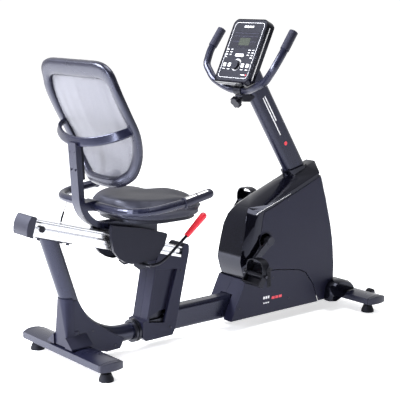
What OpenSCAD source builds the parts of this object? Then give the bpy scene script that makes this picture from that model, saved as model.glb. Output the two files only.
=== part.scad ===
// Recumbent exercise bike. Millimetres. +X is the way the rider faces, +Y the rider's
// left, +Z up. The origin is on the floor under the middle of the bike.

/* [Seat rail] */
// Slope of the seat rail, falling towards the pedals
rail_angle = 16.4; // [14:0.1:19]
// Height of the rail's extrusion
rail_h = 62; // [56:1:66]
// Width of the rail's extrusion
rail_w = 90; // [84:1:90]
// Length of the rail
rail_len = 696; // [680:1:700]

/* [Rear frame] */
// Outside radius of the J-shaped rear tube
j_r = 34; // [30:1:36]
// Bend radius of the J-shaped rear tube
j_bend = 250; // [240:1:260]
// Lean of the J tube's straight part
j_lean = 18.4; // [17:0.1:20]
// Height of the J tube's lower run
j_low = 76; // [70:1:80]

/* [Stabilisers] */
// Front to back size of each stabiliser
stab_d = 100; // [90:1:100]
// Half length of the stabiliser tube without its end caps
stab_half = 262; // [240:1:270]
// Height of a stabiliser's underside
stab_low = 46; // [40:1:50]

/* [Drive] */
// Length of the crank arms, axle to axle
crank_len = 170; // [165:1:175]
// Angle of the right crank below the horizontal, pointing backwards
crank_angle = 39.4; // [0:0.1:45]
// Radius of the large belt pulley
pulley_r = 100; // [90:1:104]
// Radius of the small belt pulley on the flywheel
pinion_r = 16; // [14:1:20]
// Radius of the flywheel
flywheel_r = 116; // [100:1:118]

/* [Housing] */
// Half width of the drive housing
house_w = 88; // [84:1:92]
// Wall of the plastic covers
wall = 3.5; // [3:0.5:4]

/* [Mast and console] */
// Lean of the mast from the vertical, falling back towards the rider
mast_lean = 32.2; // [28:0.1:35]
// Front to back size of the mast's section
mast_d = 104; // [96:1:108]
// Thickness of the mast's section
mast_t = 50; // [46:1:54]
// Lean of the console's face from the vertical
face_lean = 25.2; // [20:0.1:30]

/* [Seat] */
// Half width of the seat pad
seat_w = 200; // [190:1:205]
// Height of the seat pad's underside
seat_low = 545; // [543:1:548]
// Radius of the seat handlebar's tube
seat_tube_r = 16; // [15:1:17]

/* [Hidden] */
$fn = 48;

graphite = [0.17, 0.17, 0.21];
black = [0.06, 0.06, 0.07];
gloss = [0.03, 0.03, 0.04];
silver = [0.86, 0.87, 0.9];
steel = [0.6, 0.6, 0.62];
red = [0.85, 0.15, 0.17];

gap = 0.3;            // clearance between neighbours
fit = 0.05;           // radial clearance of a shaft in its bore

// Stabilisers and feet
rear_x = -647;
front_x = 756;
stab_edge = 26;       // height of a stabiliser's side
stab_arch = 8;        // rise of its arched top
foot_rear = [-650, 239];
foot_front = [752, 222];
wheel_at = [829.5, 164, 58];
wheel_r = 22;
stud_r = 5;

// Rail frame: origin on the rail's underside, x along the rail, z square to it
rail_origin = [-671, 0, 480];
rail_back = -161;     // rail's rear end along the rail

// J tube
j_centre = [-413, j_low + j_bend];
j_end = -331;         // where the lower run meets the column

// Column
beam_half = 35;
beam_low = 48;
beam_top = 144;
column_half = 48;

// Drive
crank_at = [262, 366];
wheel_axis = [500, 270];
spindle_r = 10;
bracket_pivot = [655, 262];
belt_y = [46, 60];

// Mast frame: origin on the mast's centre line, z up along it, x to the front
mast_origin = [379, 0, 834];
mast_low = -300;
mast_high = 190;
mast_cut = -102;      // where the mast is cut off, parallel to the console's face
knob_d = -119;
knob_h = 202.5;
knob_r = 25;

// Console frame: origin on the face above the bottom edge of the panel, x across,
// y up the face, z out of the face
face_origin = [142, 0, 1035];
dial_v = 63;
button_u = 19;

// Front handlebar
bar_at = [190, 990];
bar_r = 16;

// Seat
post_bend = [-483, 636];
post_t = 24;
post_half = 25;
post_r = 118;         // bend radius of the post's centre line
bar_back = [-540, 600];
lever_at = [-340, 350];
lever_y = 88;         // distance of the lever from the middle

// Pulse lead: a thin cable hanging from the seat handlebar to the carriage
lead_r = 1.5;
lead_sleeve_r = 4;

// ---------------------------------------------------------------- helpers

function unit(v) = v / norm(v);

// Point on the rail: s along it, n square to it
function on_rail(s, n) = [rail_origin.x + s * cos(rail_angle) + n * sin(rail_angle),
    rail_origin.z - s * sin(rail_angle) + n * cos(rail_angle)];

// Height of the line n above the rail's underside at x
function rail_z(x, n = 0) = rail_origin.z - tan(rail_angle) * (x - rail_origin.x) + n / cos(rail_angle);

// Point on the mast: d in front of its centre line, h up along it
function on_mast(d, h) = [mast_origin.x + d * cos(mast_lean) - h * sin(mast_lean),
    mast_origin.z + d * sin(mast_lean) + h * cos(mast_lean)];

// Point on the console: v up its face, w out of the face
function on_face(v, w) = [face_origin.x + v * sin(face_lean) - w * cos(face_lean),
    face_origin.z + v * cos(face_lean) + w * sin(face_lean)];

module rail_frame() {
    translate(rail_origin) rotate([0, rail_angle, 0]) children();
}

module mast_frame() {
    translate(mast_origin) rotate([0, -mast_lean, 0]) children();
}

module face_frame() {
    translate(face_origin) rotate([0, face_lean - 90, 0]) rotate([0, 0, -90]) children();
}

// Extrude an outline drawn in X and Z between two Y values
module slab(outline, y0, y1) {
    translate([0, y1, 0]) rotate([90, 0, 0]) linear_extrude(y1 - y0) polygon(outline);
}

// The same slab on both sides of the middle
module slab_pair(outline, y0, y1) {
    slab(outline, y0, y1);
    slab(outline, -y1, -y0);
}

// Round bar between two points, bored when a bore radius is given
module rod(p, q, r, bore = 0) {
    d = q - p;
    len = norm(d);
    translate(p) rotate([0, acos(d.z / len), atan2(d.y, d.x)]) difference() {
        cylinder(h = len, r = r);
        if (bore > 0) translate([0, 0, -1]) cylinder(h = len + 2, r = bore);
    }
}

// Handle from p to q, of radius r1 at p and r2 at its rounded far end
module handle(p, q, r1, r2) {
    d = q - p;
    len = norm(d);
    tip = [for (a = [0:15:90]) [r2 * cos(a), len - r2 + r2 * sin(a)]];
    translate(p) rotate([0, acos(d.z / len), atan2(d.y, d.x)]) rotate_extrude()
        polygon(concat([[0, 0], [r1, 0]], tip));
}

// Cylinder along Y centred on y = 0
module axle(at, r, y0, y1) {
    translate([at.x, y1, at.y]) rotate([90, 0, 0]) cylinder(h = y1 - y0, r = r);
}

// Solid through a list of rings of equal length
module skin(rings, loop = false) {
    n = len(rings[0]);
    m = len(rings);
    points = [for (ring = rings) for (p = ring) p];
    bands = [for (i = [0:(loop ? m - 1 : m - 2)]) for (j = [0:n - 1])
        let (a = i * n + j, b = i * n + (j + 1) % n,
            c = ((i + 1) % m) * n + (j + 1) % n, d = ((i + 1) % m) * n + j)
        each [[a, c, b], [a, d, c]]];
    e = (m - 1) * n;
    ends = loop ? [] : [for (j = [0:n / 2 - 2])
        each [[j, j + 1, n - 2 - j], [j, n - 2 - j, n - 1 - j],
            [e + j, e + n - 2 - j, e + j + 1], [e + j, e + n - 1 - j, e + n - 2 - j]]];
    polyhedron(points, concat(bands, ends), convexity = 8);
}

// Corner p between a and b, rounded over the length t with n steps
function rounded(a, p, b, t, n = 6) = let (u = p + unit(a - p) * t, v = p + unit(b - p) * t)
    [for (i = [0:n]) let (k = i / n) u * (1 - k) * (1 - k) + p * 2 * k * (1 - k) + v * k * k];

// Path through points with every inner corner rounded
function smooth(p, t, n = 6) = concat([p[0]],
    [for (i = [1:len(p) - 2]) each rounded(p[i - 1], p[i], p[i + 1], t, n)], [p[len(p) - 1]]);

// Rings of a round section along a path, kept square to the side direction
function round_rings(path, r, side, n = 16) = [for (i = [0:len(path) - 1])
    let (last = len(path) - 1,
        t = unit(path[min(i + 1, last)] - path[max(i - 1, 0)]),
        a = unit(cross(side, t)), b = cross(t, a))
    [for (k = [0:n - 1]) path[i] + r * cos(360 * k / n) * a + r * sin(360 * k / n) * b]];

// Solid bar along a path
module bar_path(path, r, side, n = 16) {
    skin(round_rings(path, r, side, n));
}

// Tube along a path: out along its outside and back along its bore
module tube_path(path, r, bore, side, n = 14) {
    inner = round_rings(path, bore, side, n);
    last = len(path) - 1;
    skin(concat(round_rings(path, r, side, n), [for (i = [last:-1:0]) inner[i]]), true);
}

// Both halves of a path that is given for the left side, right half first
function both_sides(p) = concat([for (q = p) [q.x, -q.y, q.z]],
    [for (i = [len(p) - 1:-1:0]) p[i]]);

// ---------------------------------------------------------------- base

// Stabiliser section: flat sides with an arched top
module stab_section(inset = 0) {
    arch_r = (pow(stab_d / 2, 2) + pow(stab_arch, 2)) / (2 * stab_arch);
    intersection() {
        translate([-stab_d / 2 + inset, stab_low + inset])
            square([stab_d - 2 * inset, stab_edge + stab_arch]);
        translate([0, stab_low + stab_edge + stab_arch - arch_r])
            circle(r = arch_r - inset, $fn = 96);
    }
}

module stab_length(x, y0, y1, inset = 0) {
    translate([x, y1, 0]) rotate([90, 0, 0]) linear_extrude(y1 - y0) stab_section(inset);
}

module stabiliser(x, foot) {
    boss_r = 11;
    boss_h = 16;
    difference() {
        union() {
            difference() {
                stab_length(x, -stab_half, stab_half);
                stab_length(x, -stab_half - 1, stab_half + 1, 3);
            }
            for (side = [-1, 1]) translate([foot.x, side * foot.y, stab_low])
                cylinder(h = boss_h, r = boss_r);
        }
        for (side = [-1, 1]) translate([foot.x, side * foot.y, stab_low - 1])
            cylinder(h = boss_h + 2, r = stud_r + fit);
    }
}

// Two ears and the pin that carry a transport wheel
module wheel_bracket(side) {
    ear = 4;
    ear_y = 15;
    for (s = [-1, 1]) translate([0, side * wheel_at.y + s * ear_y, 0]) {
        translate([front_x + stab_d / 2 - 1, -ear / 2, wheel_at.z - 10])
            cube([wheel_at.x - front_x - stab_d / 2 + 1, ear, 20]);
        translate([0, 0, 0]) axle([wheel_at.x, wheel_at.z], 10, -ear / 2, ear / 2);
    }
    axle([wheel_at.x, wheel_at.z], 4, side * wheel_at.y - ear_y, side * wheel_at.y + ear_y);
}

module stabilisers() {
    color(graphite) {
        stabiliser(rear_x, foot_rear);
        stabiliser(front_x, foot_front);
        for (side = [-1, 1]) wheel_bracket(side);
    }
}

module stab_cap(x, side) {
    cap_end = 284;
    plan_r = 110;
    intersection() {
        if (side > 0) stab_length(x, stab_half, cap_end);
        else stab_length(x, -cap_end, -stab_half);
        translate([x, side * (cap_end - plan_r), 0]) cylinder(h = 100, r = plan_r, $fn = 96);
    }
}

module end_caps() {
    cap_len = 32;
    cap_half = 50;
    color([0.24, 0.24, 0.27]) {
        for (side = [-1, 1]) for (x = [rear_x, front_x]) stab_cap(x, side);
        rail_frame() intersection() {
            translate([rail_back - cap_len, -cap_half, -6]) cube([cap_len, 2 * cap_half, 76]);
            translate([rail_back - cap_len, 0, 32]) rotate([90, 0, 0]) translate([90, 0, -cap_half])
                cylinder(h = 2 * cap_half, r = 90, $fn = 96);
        }
    }
}

module foot(at, side) {
    rubber_r = 28;
    color(black) translate([at.x, side * at.y, 0]) {
        cylinder(h = 8, r = rubber_r);
        translate([0, 0, 8]) cylinder(h = 22, r1 = rubber_r, r2 = 19);
        translate([0, 0, 30]) cylinder(h = 9, r = 12, $fn = 6);
        translate([0, 0, 39]) cylinder(h = 21, r = stud_r);
    }
}

module wheel(side) {
    width = 22;
    y0 = side * wheel_at.y - width / 2;
    color(black) difference() {
        axle([wheel_at.x, wheel_at.z], wheel_r, y0, y0 + width);
        axle([wheel_at.x, wheel_at.z], 4 + fit, y0 - 1, y0 + width + 1);
        for (s = [0, 1]) translate([wheel_at.x, y0 + s * width, wheel_at.z]) rotate([90, 0, 0])
            rotate_extrude() translate([10, -3]) square([10, 6]);
    }
}

// ---------------------------------------------------------------- rear frame

j_start = [j_centre.x - j_bend * cos(j_lean), 0, j_centre.y - j_bend * sin(j_lean)];
j_dir = [-sin(j_lean), 0, cos(j_lean)];

// The J tube's outside with a chosen radius
module j_shape(r) {
    overshoot = 330;
    rod(j_start, j_start + j_dir * overshoot, r);
    translate([j_centre.x, 0, j_centre.y]) rotate([90, 0, 0]) rotate([0, 0, 180 + j_lean])
        rotate_extrude(angle = 90 - j_lean, $fn = 96) translate([j_bend, 0]) circle(r = r);
    rod([j_centre.x, 0, j_low], [j_end, 0, j_low], r);
}

module above_saddle() {
    rail_frame() translate([-400, -100, -5]) cube([800, 200, 400]);
}

module rear_upright() {
    bracket = [[-680, 70], [-600, 70], [-520, 96], [-560, 130], [-610, 190], [-650, 190]];
    color(graphite) difference() {
        union() {
            j_shape(j_r);
            slab(bracket, -22, 22);
        }
        j_shape(j_r - 2.5);
        rod([j_end - 10, 0, j_low], [j_end + 10, 0, j_low], j_r - 2.5);
        above_saddle();
        stab_length(rear_x, -30, 30);
    }
}

module rail_saddle() {
    plate_back = -134;
    plate_front = 22;
    bolt_r = 7;
    color(black) rail_frame() {
        translate([plate_back, -34, -5]) cube([plate_front - plate_back, 68, 5]);
        for (s = [-121, 8]) for (y = [-22, 22]) translate([s, y, -13])
            cylinder(h = 8, r = bolt_r, $fn = 6);
    }
}

module rear_boot() {
    back = -690;
    front = -657;
    skirt_y = 84;
    color(black) difference() {
        union() {
            hull() {
                translate([-655, 0, 256]) cylinder(h = 8, r = j_r + 6);
                translate([back, -43, 81]) cube([50, 86, 10]);
            }
            for (s = [-1, 1]) hull() {
                translate([-697, s > 0 ? 40 : -42, 81]) cube([95, 2, 40]);
                translate([-697, s > 0 ? skirt_y - 2 : -skirt_y, 81]) cube([95, 2, 5]);
            }
        }
        j_shape(j_r + gap);
        slab([[front, 60], [-600, 60], [-600, 300], [front, 300]], -39.5, 39.5);
        slab([[front, 136], [-600, 136], [-600, 300], [front, 300]], -60, 60);
        slab([[back + 6, 60], [front, 60], [front, 210], [back + 6, 150]], -36, 36);
    }
}

module curve_covers() {
    outline = [[-656, 258], [-636, 254], [-595, 186], [-560, 152], [-519, 124], [-475, 95],
        [-427, 67], [-447, 30], [-510, 28], [-576, 49], [-590, 82], [-656, 82]];
    color(graphite) slab_pair(outline, j_r + 0.5, j_r + 5);
}

// ---------------------------------------------------------------- seat rail

rail_profile = [[45, 0], [45, 16.5], [42, 16.5], [42, 19.5], [45, 19.5], [45, 30], [38, 36],
    [38, 50], [45, 57], [45, 60], [43, 62]];

function mirrored(p) = concat(p, [for (i = [len(p) - 1:-1:0]) [-p[i].x, p[i].y]]);

module seat_rail() {
    web = rail_w / 2 - 11;
    color(silver) rail_frame() translate([rail_back, 0, 0]) difference() {
        rotate([90, 0, 90]) linear_extrude(rail_len) scale([rail_w / 90, rail_h / 62])
            polygon(mirrored(rail_profile));
        translate([-1, -web, 5]) cube([rail_len + 2, 2 * web, rail_h - 10]);
    }
}

module rail_bumpers() {
    bumper_s = -129;
    color(black) rail_frame() for (side = [-1, 1])
        translate([bumper_s, side > 0 ? 45.1 : -50, 31]) rotate([-90, 0, 0])
            cylinder(h = 4.9, r = 12);
}

// ---------------------------------------------------------------- column

column_base = [[-330, 40], [-190, 40], [-190, 112], [-330, 112]];
post_lean = [[-292, 112], [-242, 112], [-190, rail_z(-190) - gap], [-240, rail_z(-240) - gap]];

module column_post() {
    color(black) {
        difference() {
            union() {
                slab(column_base, -34, 34);
                slab(post_lean, -22, 22);
            }
            slab([[-340, 43], [-193, 43], [-193, 109], [-340, 109]], -31, 31);
            slab([[-288, 100], [-245, 100], [-195, 325], [-238, 325]], -19, 19);
        }
        for (x = [-372, -358]) translate([x, 0, j_low]) rotate([0, 90, 0]) difference() {
            cylinder(h = 10, r = 46);
            translate([0, 0, -1]) cylinder(h = 12, r = j_r + gap);
        }
    }
}

module column_half_cover() {
    outline = concat([[-199, 37], [-330, 36], [-346, 52], [-346, 116], [-325, 121],
        [-285, 322], [-266, rail_z(-266, 20)], [-152, rail_z(-152, 20)], [-146, 392]],
        [for (a = [150:-30:0]) [-128 + 14 * cos(a), 387 + 14 * sin(a)]],
        [[-114, 366], [-166, 149], [-185, 64]]);
    recess = [[-175, 305], [-241, 96], [-316, 110], [-277, 318]];
    difference() {
        slab(outline, 0.15, column_half);
        slab(recess, 31, column_half + 1);
        slab([[-331, 39.7], [-150, 39.7], [-150, beam_top + gap], [-250, beam_top + gap], [-331, 114]], -1, 36);
        slab([[-298, 100], [-236, 100], [-184, 345], [-240, 368]], -1, 23);
        rod([-400, 0, j_low], [-320, 0, j_low], j_r + gap);
        rail_frame() translate([-200, -1, -gap]) cube([rail_back + rail_len + 201, 46.5, 90]);
    }
}

module column_covers() {
    color(graphite) {
        column_half_cover();
        mirror([0, 1, 0]) column_half_cover();
    }
}

// Hollow tube of rounded rectangular section along X
module beam_section(inset) {
    r = 18 - inset;
    for (y = [-1, 1]) for (z = [beam_low + 18, beam_top - 18])
        translate([y * (beam_half - 18), z]) circle(r = r);
    translate([-beam_half + inset, beam_low + 18]) square([2 * (beam_half - inset), beam_top - beam_low - 36]);
    translate([-beam_half + 18, beam_low + inset]) square([2 * beam_half - 36, beam_top - beam_low - 2 * inset]);
}

// Side view of the beam, with its nose cut to slip under the front stabiliser's hood
beam_nose = [[-200, 0], [705.7, 0], [705.7, 84], [640, 112], [600, 160], [-200, 160]];

// Room for the beam's nose in the covers
module beam_room() {
    slab([for (p = beam_nose) p + [gap, gap]], -beam_half - gap, beam_half + gap);
}

module main_beam() {
    beam_back = -189.7;
    color(graphite) intersection() {
        slab(beam_nose, -60, 60);
        difference() {
            translate([beam_back, 0, 0]) rotate([90, 0, 90]) linear_extrude(900) beam_section(0);
            translate([beam_back - 1, 0, 0]) rotate([90, 0, 90]) linear_extrude(902) beam_section(3);
        }
    }
}

// ---------------------------------------------------------------- drive

module drive_frame() {
    shell_r = 24;
    ear = [[196, 145], [330, 145], [290, 366], [235, 366]];
    dropout = [[450, 145], [550, 145], [520, 290], [480, 290]];
    post = [[622, 133.8], [640, 112.3], [646, 110], [657, 140], [664, 185], [668, 262], [640, 380], [606, 520],
        on_mast(50, mast_low - gap), on_mast(-50, mast_low - gap), [560, 500], [600, 372], [622, 300]];
    cap = [on_mast(50, mast_low - gap), on_mast(-50, mast_low - gap), on_mast(-50, mast_low - 6),
        on_mast(50, mast_low - 6)];
    color(steel) {
        difference() {
            union() {
                axle(crank_at, shell_r, -40, 40);
                slab_pair(ear, 28, 34);
                slab([[200, 144.2], [326, 144.2], [326, 151], [200, 151]], -34, 34);
            }
            axle(crank_at, 20, -41, 41);
        }
        slab(dropout, -36, -30);
        slab(dropout, 64, 70);
        slab([[450, 144.2], [550, 144.2], [550, 149], [450, 149]], -36, 70);
        axle(wheel_axis, 6, -44, 76);
        slab_pair(post, 26, 32);
        slab(cap, -32, 32);
        axle(bracket_pivot, 5, -27, 27);
    }
}

module crank_bearings() {
    color(silver) for (y0 = [-39, 27]) difference() {
        axle(crank_at, 20, y0, y0 + 12);
        axle(crank_at, spindle_r + fit, y0 - 1, y0 + 13);
    }
}

// Arm half: from the spindle to the pedal, on one side
module crank_arm(side) {
    eye_r = 19;
    tip_r = 14;
    y_in = 98;
    y_out = 126;
    dir = side < 0 ? 180 + crank_angle : crank_angle;
    tip = [crank_at.x + crank_len * cos(dir), crank_at.y + crank_len * sin(dir)];
    along = [cos(dir), sin(dir)];
    across = [-sin(dir), cos(dir)];
    blade = [crank_at + across * 15, tip + across * 11, tip - across * 11, crank_at - across * 15];
    axle(crank_at, eye_r, side > 0 ? y_in : -y_in - 24, side > 0 ? y_in + 24 : -y_in);
    slab(blade, side > 0 ? 108 : -120, side > 0 ? 120 : -108);
    axle(tip, tip_r, side > 0 ? 108 : -y_out, side > 0 ? y_out : -108);
    axle(tip, 6, side > 0 ? y_out - 1 : -240, side > 0 ? 240 : -y_out + 1);
}

module crank_set() {
    color(black) {
        axle(crank_at, spindle_r, -122, 122);
        crank_arm(-1);
        crank_arm(1);
    }
}

module belt_wheel(at, r, bore) {
    difference() {
        axle(at, r, belt_y.x, belt_y.y);
        axle(at, bore, belt_y.x - 1, belt_y.y + 1);
    }
}

module drive_pulley() {
    color(black) difference() {
        belt_wheel(crank_at, pulley_r, spindle_r);
        for (a = [0:60:300]) axle(crank_at + 60 * [cos(a), sin(a)], 22, belt_y.x - 1, belt_y.y + 1);
    }
}

module flywheel() {
    color(steel) difference() {
        union() {
            axle(wheel_axis, flywheel_r, -24, 14);
            axle(wheel_axis, 22, 14, 24);
            axle(wheel_axis, 13, 24, belt_y.x);
            axle(wheel_axis, pinion_r, belt_y.x, belt_y.y);
        }
        axle(wheel_axis, 6 + fit, -40, 80);
    }
}

// Open-topped loop of the belt round both pulleys
module belt_loop(grow) {
    d = wheel_axis - crank_at;
    lean = atan2(d.y, d.x);
    open = acos((pulley_r - pinion_r) / norm(d));
    for (s = [0]) {
        big = [for (a = [open:10:360 - open]) crank_at + (pulley_r + grow) * [cos(lean + a), sin(lean + a)]];
        small = [for (a = [-open:10:open]) wheel_axis + (pinion_r + grow) * [cos(lean + a), sin(lean + a)]];
        polygon(concat(big, small));
    }
}

module drive_belt() {
    color(black) translate([0, belt_y.y - 1, 0]) rotate([90, 0, 0]) linear_extrude(belt_y.y - belt_y.x - 2)
        difference() {
            belt_loop(4);
            belt_loop(2);
        }
}

module magnet_bracket() {
    inner = flywheel_r + 4;
    sweep = [for (a = [14:11:80]) a];
    band = concat([for (a = sweep) wheel_axis + (inner + 10) * [cos(a), sin(a)]],
        [for (i = [len(sweep) - 1:-1:0]) wheel_axis + (inner + 5) * [cos(sweep[i]), sin(sweep[i])]]);
    color(steel) difference() {
        union() {
            slab(band, -22, 12);
            axle(bracket_pivot, 9, -22, 12);
            slab([[649, 256], [660, 268], [631, 312], [622, 300]], -22, 12);
            for (a = [24, 47, 70]) translate([wheel_axis.x, -5, wheel_axis.y]) rotate([0, -a, 0])
                translate([inner, -14, -11]) cube([7, 28, 22]);
        }
        axle(bracket_pivot, 5 + fit, -30, 20);
    }
}

module brake_motor() {
    color(black) translate([586, 32.3, 402]) {
        cube([40, 30, 38]);
        translate([20, 14, -12]) cylinder(h = 13, r = 7);
    }
}

// ---------------------------------------------------------------- housing

// Silhouette of the rear and top of the housing: x, z and the half width of its crest,
// the start of the flat side, and the edge of the side panel
shroud_rows = [
    [[160, 211], 73, [186, 222], [214, 232]],
    [[147, 240], 73, [178, 252], [216, 280]],
    [[134, 287], 73, [168, 290], [220, 312]],
    [[139, 318], 73, [172, 320], [223, 334]],
    [[150, 366], 73, [184, 368], [230, 376]],
    [[165, 428], 70, [196, 428], [240, 430]],
    [[179, 470], 58, [208, 461], [246, 466]],
    [[206, 505], 40, [228, 484], [252, 487]],
    [[279, 541], 28, [288, 514], [298, 502]],
    [[372, 580], 26, [384, 550], [392, 537]],
    [[464, 614], 26, [480, 586], [488, 573]],
    [[602, 663], 26, [572, 622], [566, 604]]];

function shroud_ring(row, inset) = let (
        crest = row[0], w = row[1], flat = row[2], edge = row[3],
        n = unit([crest.y - flat.y, flat.x - crest.x]),
        inward = unit(edge - crest) * inset)
    [[edge.x, house_w, edge.y], [flat.x, house_w, flat.y], [crest.x, w, crest.y],
        [crest.x, -w, crest.y], [flat.x, -house_w, flat.y], [edge.x, -house_w, edge.y],
        [edge.x, -house_w + inset, edge.y],
        [flat.x + inward.x, -house_w + inset, flat.y + inward.y],
        [crest.x + inward.x, -w + inset / 2, crest.y + inward.y],
        [crest.x + inward.x, w - inset / 2, crest.y + inward.y],
        [flat.x + inward.x, house_w - inset, flat.y + inward.y],
        [edge.x, house_w - inset, edge.y]];

module top_shroud() {
    collar = [[420, 592], [600, 645], [600, 668], [420, 626]];
    color(gloss) {
        difference() {
            skin([for (row = shroud_rows) shroud_ring(row, wall)]);
            mast_frame() translate([0, 0, -400]) linear_extrude(400) mast_section(-gap);
        }
        intersection() {
            slab(collar, -60, 60);
            mast_frame() translate([0, 0, mast_low]) difference() {
                linear_extrude(150) mast_section(-9);
                translate([0, 0, -1]) linear_extrude(152) mast_section(-gap);
            }
        }
    }
}

// Front edge of the housing's side: height, edge of the side panel behind it, front edge,
// and how far the front wall bulges past it in the middle
front_rows = [
    [602.5, 568, 580, 42], [571.5, 490, 591, 42], [535.5, 394, 601, 42], [500.5, 300, 613, 42],
    [485.5, 253.5, 617, 42], [465, 247, 622, 42], [430, 241, 632, 42], [376, 231, 646, 42],
    [312, 221, 659, 40], [280, 217, 664, 36], [233, 215, 668, 20], [231.5, 326, 668, 20],
    [209, 465, 671, 10], [190, 502, 671, 6], [140, 541, 670, 2], [128, 548, 664, 1],
    [50, 579, 632, 0.5]];

function front_ring(row, side) = let (z = row[0], back = row[1] + gap, front = row[2], bulge = row[3])
    [for (p = [[back, house_w], [front, house_w], [front + bulge * 0.62, house_w * 0.72],
            [front + bulge * 0.92, house_w * 0.36], [front + bulge, 0.15],
            [front + bulge - wall, 0.15], [front + bulge * 0.92 - wall, house_w * 0.34],
            [front + bulge * 0.62 - wall, house_w * 0.70], [front - wall, house_w - wall],
            [back, house_w - wall]])
        [p.x, side * p.y, z]];

module housing_half() {
    difference() {
        skin([for (row = front_rows) front_ring(row, 1)]);
        axle(crank_at, 30, 40, 100);
        beam_room();
    }
}

module housing_right() {
    color(graphite) mirror([0, 1, 0]) housing_half();
}

module housing_left() {
    color(graphite) housing_half();
}

lower_outline = [[74, 47], [154, 208], [214, 229], [325, 229], [463, 207], [500, 188],
    [539, 138], [546, 126], [577, 47]];
lower_inner = [[81, 40], [158, 203], [215, 225], [325, 225], [460, 203], [497, 185],
    [536, 136], [542, 125], [573, 40]];

module lower_half_cover() {
    difference() {
        slab(lower_outline, 0.15, house_w - 1);
        slab(lower_inner, -1, house_w - 1 - wall);
        slab([[0, 0], [200, 0], [200, beam_top + 1], [0, beam_top + 1]], -1, beam_half + 1);
        slab([[160, 190], [600, 190], [600, 240], [160, 240]], -1, house_w - 1 - wall);
        slab([[480, 0], [600, 0], [600, 240], [480, 240]], -1, house_w - 1 - wall);
    }
}

module lower_covers() {
    color(graphite) {
        lower_half_cover();
        mirror([0, 1, 0]) lower_half_cover();
    }
}

module front_hood() {
    wide = [[616, 46], [616, 75], [622, 106], [640, 125], [664, 133], [702, 133], [738, 122],
        [762, 104], [768, 88], [768, 84], [640, 38]];
    end = [[624, 48], [624, 75], [630, 102], [645, 118], [666, 125], [700, 125], [733, 115],
        [754, 99], [760, 88], [760, 84], [648, 44]];
    hollow = [[606, 30], [621, 46], [621, 75], [627, 103], [643, 120], [665, 128], [701, 128],
        [735, 117], [757, 101], [790, 88], [790, 30]];
    end_hollow = [[606, 30], [629, 48], [629, 75], [635, 99], [648, 113], [667, 120], [699, 120],
        [730, 110], [749, 95], [790, 85], [790, 30]];
    color(gloss) difference() {
        hull() {
            slab(wide, -118, 118);
            slab(end, -132, 132);
        }
        slab(hollow, -114, 114);
        slab(end_hollow, -127, 127);
        slab([[600, 30], [640, 30], [679, 140], [679, 150], [600, 150]], -89, 89);
        slab([[640, 20], [720, 20], [720, 60], [640, 60]], -89, 89);
        slab([[705, 20], [808, 20], [808, 80.6], [790, 82], [756, 82], [705, 80.6]], -150, 150);
        beam_room();
    }
}

module power_inlet() {
    color(black) difference() {
        rod([673.6, -52, 156], [694, -52, 156], 7);
        rod([676, -52, 156], [696, -52, 156], 3);
    }
}

// Screw heads that hold the covers: x, z and the height of the face that they sit on
cover_screw_at = [[-572, 125, j_r + 5], [-470, 47, j_r + 5], [-156, 295, column_half],
    [-211, 73, column_half], [388, 524, house_w], [306, 198, house_w - 1],
    [401, 93, house_w - 1], [121, 95, house_w - 1], [595, 92, house_w]];

module cover_screws() {
    head_r = 4.5;
    head_h = 1.5;
    color(black) for (p = cover_screw_at)
        for (side = [-1, 1]) difference() {
            axle([p.x, p.y], head_r, side > 0 ? p.z : -p.z - head_h, side > 0 ? p.z + head_h : -p.z);
            axle([p.x, p.y], 2, side > 0 ? p.z + 0.7 : -p.z - 3, side > 0 ? p.z + 3 : -p.z - 0.7);
        }
}

// ---------------------------------------------------------------- mast and console

// Flat oval; a negative inset makes it larger
module mast_section(inset) {
    end = mast_d / 2 - mast_t / 2;
    r = mast_t / 2 - inset;
    translate([-end, -r]) square([2 * end, 2 * r]);
    for (s = [-1, 1]) translate([s * end, 0]) circle(r = r);
}

// Everything in front of the plane that cuts off the mast's top
module below_cut(w) {
    slab([on_face(400, w), on_face(-600, w), on_face(-600, w - 700), on_face(400, w - 700)], -60, 60);
}

module mast_length(inset, cut) {
    intersection() {
        mast_frame() translate([0, 0, mast_low]) linear_extrude(mast_high - mast_low + 110)
            mast_section(inset);
        below_cut(cut);
    }
}

module mast() {
    color(graphite) difference() {
        mast_length(0, mast_cut);
        mast_length(2.5, mast_cut - 4);
    }
}

module handlebar_clamp() {
    block_half = 22;
    side = [on_mast(-30, 172), on_mast(-72, 172), on_mast(-97, 190), on_mast(-97, 214), bar_at,
        on_face(-4, -64), on_face(-4, mast_cut + gap), on_face(-26, mast_cut + gap)];
    color(black) difference() {
        union() {
            slab(side, -block_half, block_half);
            axle(bar_at, 20, -block_half, block_half);
        }
        axle(bar_at, bar_r + fit, -block_half - 1, block_half + 1);
        mast_frame() {
            translate([mast_t / 2 - mast_d / 2, 0, 100]) cylinder(h = 120, r = mast_t / 2 + gap);
            translate([-110, 0, knob_h]) rotate([0, 90, 0]) cylinder(h = 58, r = 5 + fit);
        }
    }
}

module clamp_knob() {
    lobes = 6;
    color(black) mast_frame() translate([knob_d, 0, knob_h]) rotate([0, 90, 0]) {
        translate([0, 0, -9]) difference() {
            cylinder(h = 18, r = knob_r);
            for (a = [0:360 / lobes:359]) rotate([0, 0, a]) translate([knob_r + 5, 0, -1])
                cylinder(h = 20, r = 9);
        }
        translate([0, 0, 8]) cylinder(h = 6, r = 9);
        translate([0, 0, 8]) cylinder(h = 50, r = 5);
    }
}

face_w = 104;
face_h = 284;

// Rounded rectangle from x0, y0 to x1, y1
module rounded_square(x0, y0, x1, y1, r) {
    translate([x0 + r, y0]) square([x1 - x0 - 2 * r, y1 - y0]);
    translate([x0, y0 + r]) square([x1 - x0, y1 - y0 - 2 * r]);
    for (x = [x0 + r, x1 - r]) for (y = [y0 + r, y1 - r]) translate([x, y]) circle(r = r);
}

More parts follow.
